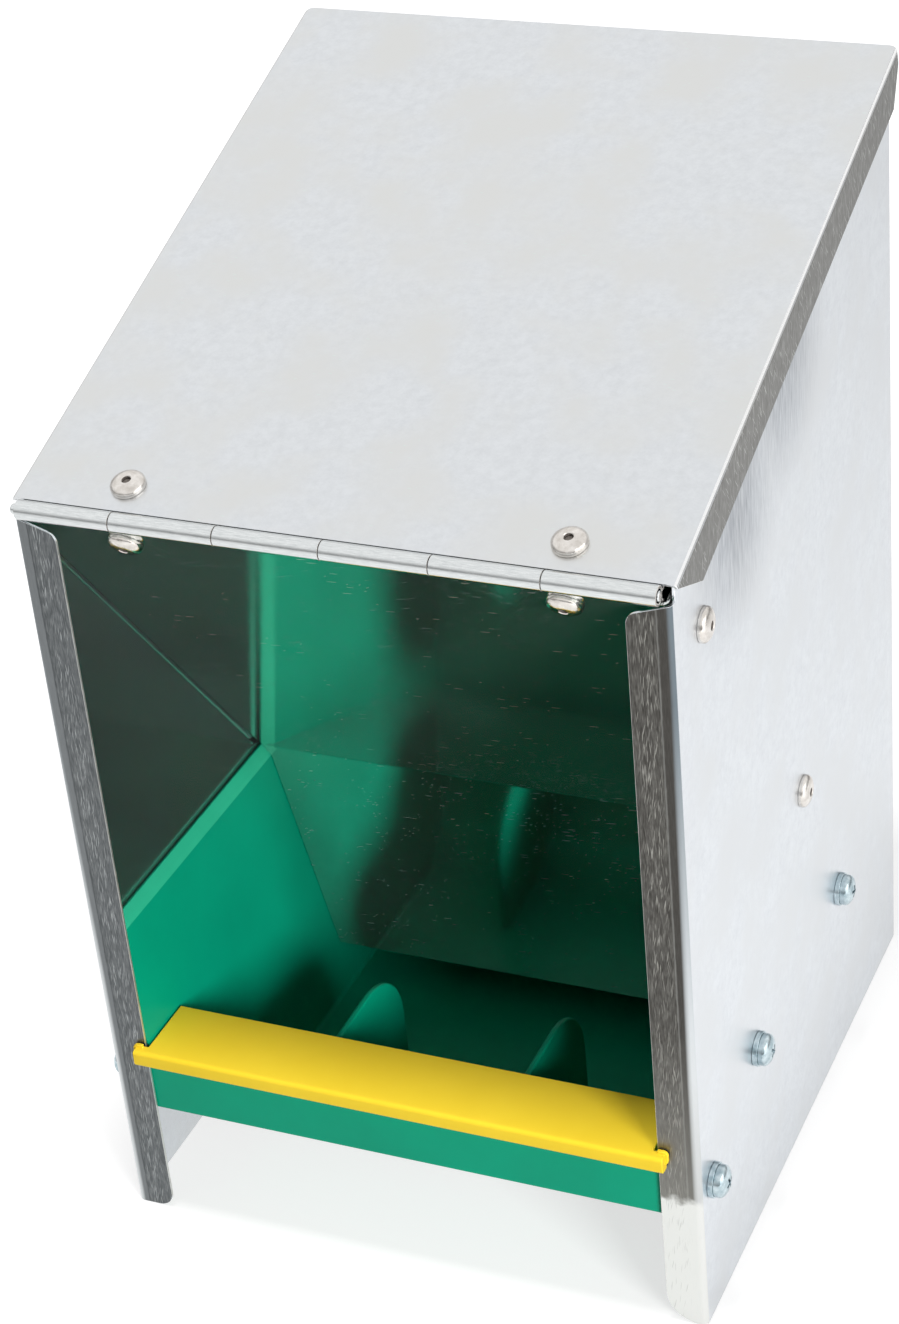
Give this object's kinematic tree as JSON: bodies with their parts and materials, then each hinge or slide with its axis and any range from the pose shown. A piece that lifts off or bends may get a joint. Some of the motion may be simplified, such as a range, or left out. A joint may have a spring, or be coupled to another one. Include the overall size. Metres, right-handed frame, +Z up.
{
  "type": "poultry trough feeder",
  "caption": "Galvanised hopper feeder for poultry: hinged sloping lid, riveted baffle and a screwed-in plastic trough with dividers and a feed-saving lip.",
  "frame": {"origin": "on the floor, under the middle of the whole feeder's bounding box", "axes": "+Z up; the trough's open front faces -Y and the back panel faces +Y; +X is the right-hand side seen from the front"},
  "size_m": [0.1952, 0.2067, 0.3089],
  "materials": {
    "galvanised_sheet": "hot-dip galvanised sheet, pale and softly mottled, with bright scratched bends",
    "hinge_steel": "galvanised steel hinge, satin",
    "rivet_aluminium": "bright aluminium dome heads",
    "screw_zinc": "blue passivated zinc plating",
    "trough_plastic": "moulded polypropylene, satin green",
    "lip_plastic": "moulded polypropylene, satin yellow"
  },
  "bodies": {
    "root": {"body_shell": "galvanised_sheet", "hopper_baffle": "galvanised_sheet", "hinge_body_leaf": "hinge_steel", "hinge_pin": "hinge_steel", "trough": "trough_plastic", "trough_lip": "lip_plastic", "hinge_rivet_left": "rivet_aluminium", "side_rivet_left_upper": "rivet_aluminium", "side_rivet_left_lower": "rivet_aluminium", "trough_screw_left_front": "screw_zinc", "trough_washer_left_front": "screw_zinc", "trough_screw_left_middle": "screw_zinc", "trough_washer_left_middle": "screw_zinc", "trough_screw_left_rear": "screw_zinc", "trough_washer_left_rear": "screw_zinc", "hinge_rivet_right": "rivet_aluminium", "side_rivet_right_upper": "rivet_aluminium", "side_rivet_right_lower": "rivet_aluminium", "trough_screw_right_front": "screw_zinc", "trough_washer_right_front": "screw_zinc", "trough_screw_right_middle": "screw_zinc", "trough_washer_right_middle": "screw_zinc", "trough_screw_right_rear": "screw_zinc", "trough_washer_right_rear": "screw_zinc"},
    "lid": {"lid": "galvanised_sheet", "hinge_lid_leaf": "hinge_steel", "lid_rivet_left": "rivet_aluminium", "lid_rivet_right": "rivet_aluminium"}
  },
  "joints": [
    {"name": "lid_hinge", "type": "hinge", "parent": "root", "child": "lid", "pos_m": [0, -0.09949, 0.2412], "axis": [1, 0, 0], "range_deg": [0, 220]}
  ]
}
